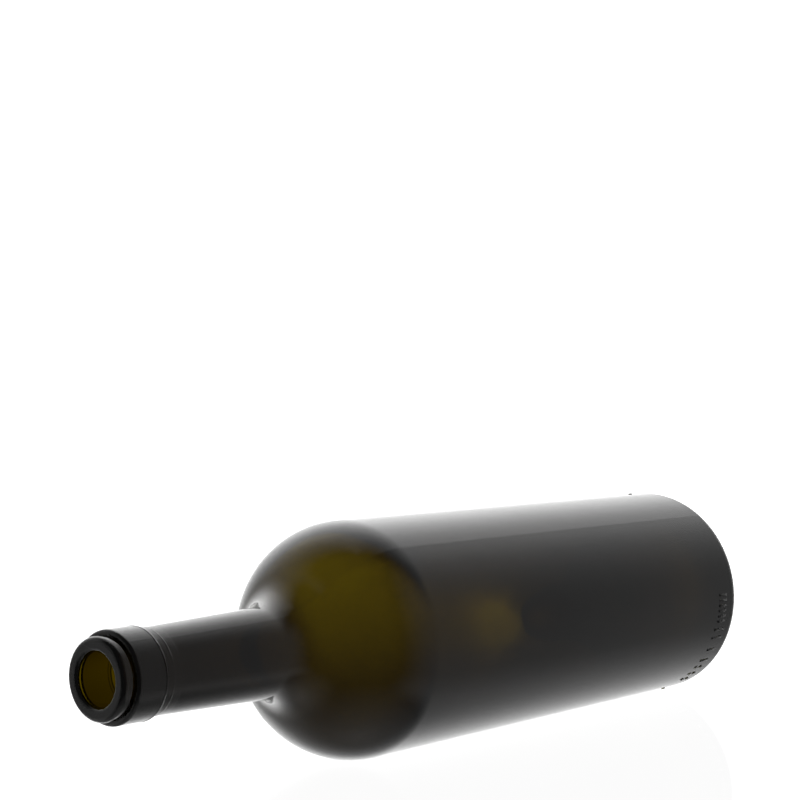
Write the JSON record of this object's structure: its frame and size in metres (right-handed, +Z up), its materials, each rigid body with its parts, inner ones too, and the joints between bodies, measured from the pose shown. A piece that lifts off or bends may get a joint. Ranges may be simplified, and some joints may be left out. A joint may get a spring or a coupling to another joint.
{
  "type": "wine bottle",
  "caption": "Empty dark green glass wine bottle with high round shoulders and a ringed mouth, lying on its side with no cork or label.",
  "frame": {"origin": "on the floor under the middle of the bottle, which lies on its side", "axes": "+X along the bottle from its mouth towards its base, +Z up, and the side with the mould code and the nearer seam towards -Y"},
  "size_m": [0.2912, 0.0786, 0.0784],
  "materials": {
    "glass": "smooth, glossy, very dark olive green"
  },
  "bodies": {
    "root": {"bottle": "glass"}
  },
  "joints": []
}
